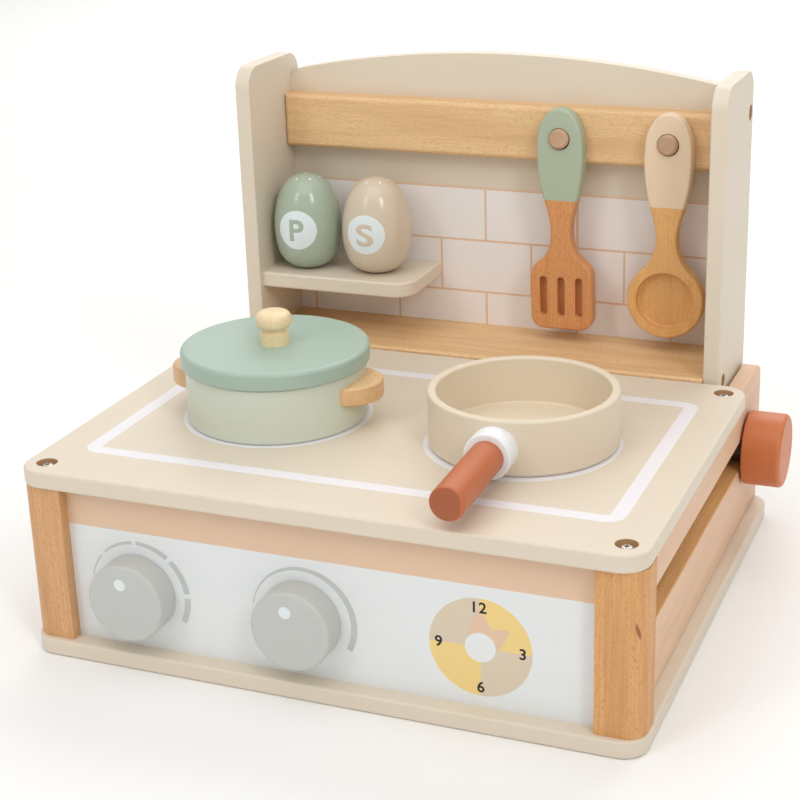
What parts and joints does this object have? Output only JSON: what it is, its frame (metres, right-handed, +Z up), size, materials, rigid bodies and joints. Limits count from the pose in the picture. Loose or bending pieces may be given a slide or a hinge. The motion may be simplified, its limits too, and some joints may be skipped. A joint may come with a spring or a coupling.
{
  "type": "tabletop play kitchen",
  "caption": "Wooden tabletop play kitchen: hob box with turning dials, fold-down backsplash with shelf and peg rail, lidded pot, pan, shakers, spatula and spoon.",
  "frame": {"origin": "on the resting plane, below the centre of the whole outline", "axes": "+X to the right of someone who plays at the dials, +Y to the back, +Z up"},
  "size_m": [0.396, 0.3326, 0.2984],
  "materials": {
    "beige_paint": "satin paint on board",
    "white_paint": "satin paint on board",
    "grey_paint": "satin paint on turned wood",
    "sage_paint": "satin paint on turned wood",
    "pale_green_paint": "satin paint on turned wood",
    "terracotta_paint": "satin paint on turned wood",
    "collar_white_paint": "satin paint on turned wood",
    "beech": "clear lacquered beech",
    "maple": "clear lacquered maple",
    "dowel_wood": "bare beech dowel",
    "zinc_steel": "zinc plated",
    "brass": "machined",
    "nylon": "moulded nylon"
  },
  "bodies": {
    "box": {"base_board": "beige_paint", "base_screws": "zinc_steel", "cooktop": "beige_paint", "cooktop_screws": "zinc_steel", "front_panel": "white_paint", "panel_dowels": "dowel_wood", "front_post_left": "beech", "front_post_right": "beech", "side_board_left": "beech", "side_board_right": "beech"},
    "dial_left": {"dial_knob_left": "grey_paint", "dial_axle_left": "zinc_steel", "dial_washer_left": "nylon"},
    "dial_right": {"dial_knob_right": "grey_paint", "dial_axle_right": "zinc_steel", "dial_washer_right": "nylon"},
    "backsplash": {"backsplash_side_left": "beige_paint", "backsplash_side_right": "beige_paint", "backsplash_screws": "zinc_steel", "back_board": "beige_paint", "hanging_rail": "beech", "rail_screws": "zinc_steel", "hanging_peg_left": "dowel_wood", "hanging_peg_right": "dowel_wood", "ledge_board": "beech", "shelf": "beige_paint", "shelf_screws": "zinc_steel", "clamp_spacer_left": "nylon", "clamp_spacer_right": "nylon", "clamp_bush_left": "nylon", "clamp_bush_right": "nylon", "clamp_washer_left": "nylon", "clamp_washer_right": "nylon", "clamp_bolt_left": "zinc_steel", "clamp_bolt_right": "zinc_steel"},
    "clamp_left": {"clamp_knob_left": "terracotta_paint", "clamp_insert_left": "brass"},
    "clamp_right": {"clamp_knob_right": "terracotta_paint", "clamp_insert_right": "brass"},
    "pot": {"pot_body": "pale_green_paint", "pot_handle_left": "beech", "pot_handle_right": "beech", "pot_handle_dowels": "dowel_wood"},
    "lid": {"pot_lid": "sage_paint", "lid_knob": "maple", "lid_tenon": "dowel_wood"},
    "pan": {"pan_body": "beige_paint", "pan_collar": "collar_white_paint", "pan_handle": "terracotta_paint", "pan_tenon": "dowel_wood"},
    "pepper": {"pepper_shaker": "sage_paint"},
    "salt": {"salt_shaker": "beige_paint"},
    "spatula": {"spatula": "beech"},
    "spoon": {"spoon": "beech"}
  },
  "joints": [
    {"name": "dial_left_turn", "type": "hinge", "parent": "box", "child": "dial_left", "pos_m": [-0.1123, -0.15005, 0.0438], "axis": [0, -1, 0], "continuous": true},
    {"name": "dial_right_turn", "type": "hinge", "parent": "box", "child": "dial_right", "pos_m": [-0.0115, -0.15005, 0.0438], "axis": [0, -1, 0], "continuous": true},
    {"name": "backsplash_fold", "type": "hinge", "parent": "box", "child": "backsplash", "pos_m": [0, 0.12325, 0.061], "axis": [-1, 0, 0], "range_deg": [0, 90]},
    {"name": "clamp_left_turn", "type": "hinge", "parent": "backsplash", "child": "clamp_left", "pos_m": [-0.1735, 0.12325, 0.061], "axis": [-1, 0, 0], "continuous": true},
    {"name": "clamp_right_turn", "type": "hinge", "parent": "backsplash", "child": "clamp_right", "pos_m": [0.1735, 0.12325, 0.061], "axis": [1, 0, 0], "continuous": true},
    {"name": "pot_lift", "type": "slide", "parent": "box", "child": "pot", "axis": [0, 0, 1], "range_m": [0, 0.12]},
    {"name": "lid_lift", "type": "slide", "parent": "pot", "child": "lid", "axis": [0, 0, 1], "range_m": [0, 0.06]},
    {"name": "pan_lift", "type": "slide", "parent": "box", "child": "pan", "axis": [0, 0, 1], "range_m": [0, 0.12]},
    {"name": "pepper_lift", "type": "slide", "parent": "backsplash", "child": "pepper", "axis": [0, -0.5, 0.866], "range_m": [0, 0.08]},
    {"name": "salt_lift", "type": "slide", "parent": "backsplash", "child": "salt", "axis": [0, -0.5, 0.866], "range_m": [0, 0.08]},
    {"name": "spatula_pull", "type": "slide", "parent": "backsplash", "child": "spatula", "axis": [0, -1, 0], "range_m": [0, 0.04]},
    {"name": "spoon_pull", "type": "slide", "parent": "backsplash", "child": "spoon", "axis": [0, -1, 0], "range_m": [0, 0.04]}
  ]
}
